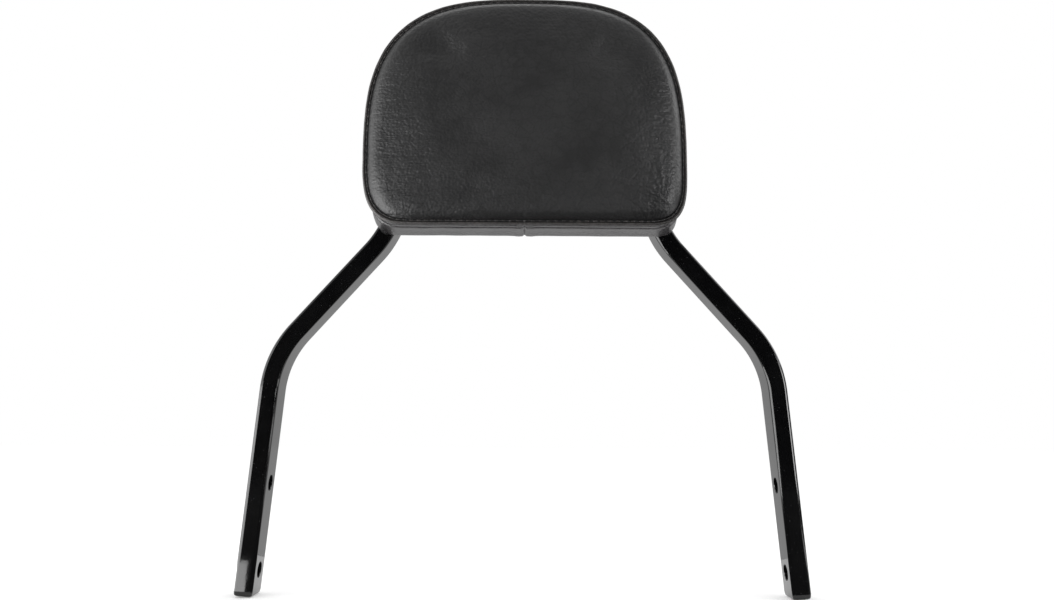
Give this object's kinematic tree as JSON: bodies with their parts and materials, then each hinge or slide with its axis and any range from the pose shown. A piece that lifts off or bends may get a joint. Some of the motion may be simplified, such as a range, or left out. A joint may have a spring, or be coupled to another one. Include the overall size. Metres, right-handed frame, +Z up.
{
  "type": "sissy bar",
  "caption": "Passenger backrest for a motorcycle: bent flat-bar hoop with splayed, cross-drilled legs, and an upholstered pad screwed to cross straps.",
  "frame": {"origin": "level with the ends of the legs, midway between them, and midway between the front of the pad and the back of the bar", "axes": "+Z up, -Y towards the front of the pad, where the passenger leans, and +X to the right as seen from the front"},
  "size_m": [0.33, 0.0716, 0.3396],
  "materials": {
    "bar_black": "gloss black powder coat",
    "vinyl_black": "black leather-grain vinyl",
    "foam": "open-cell foam, sealed inside the cover",
    "plywood": "birch plywood, sealed inside the cover",
    "back_cloth": "black non-woven cloth",
    "zinc": "bright zinc plate",
    "screw_black": "black zinc plate"
  },
  "bodies": {
    "root": {"hoop_bar": "bar_black", "lower_strap": "bar_black", "upper_strap": "bar_black", "lower_strap_welds": "bar_black", "upper_strap_welds": "bar_black", "pad_board": "plywood", "foam_core": "foam", "front_panel": "vinyl_black", "edge_welt": "vinyl_black", "boxing_band": "vinyl_black", "back_panel": "back_cloth", "lower_tee_nuts": "zinc", "upper_tee_nuts": "zinc", "lower_pad_screws": "screw_black", "upper_pad_screws": "screw_black", "lower_spring_washers": "screw_black", "upper_spring_washers": "screw_black", "lower_flat_washers": "screw_black", "upper_flat_washers": "screw_black"}
  },
  "joints": []
}
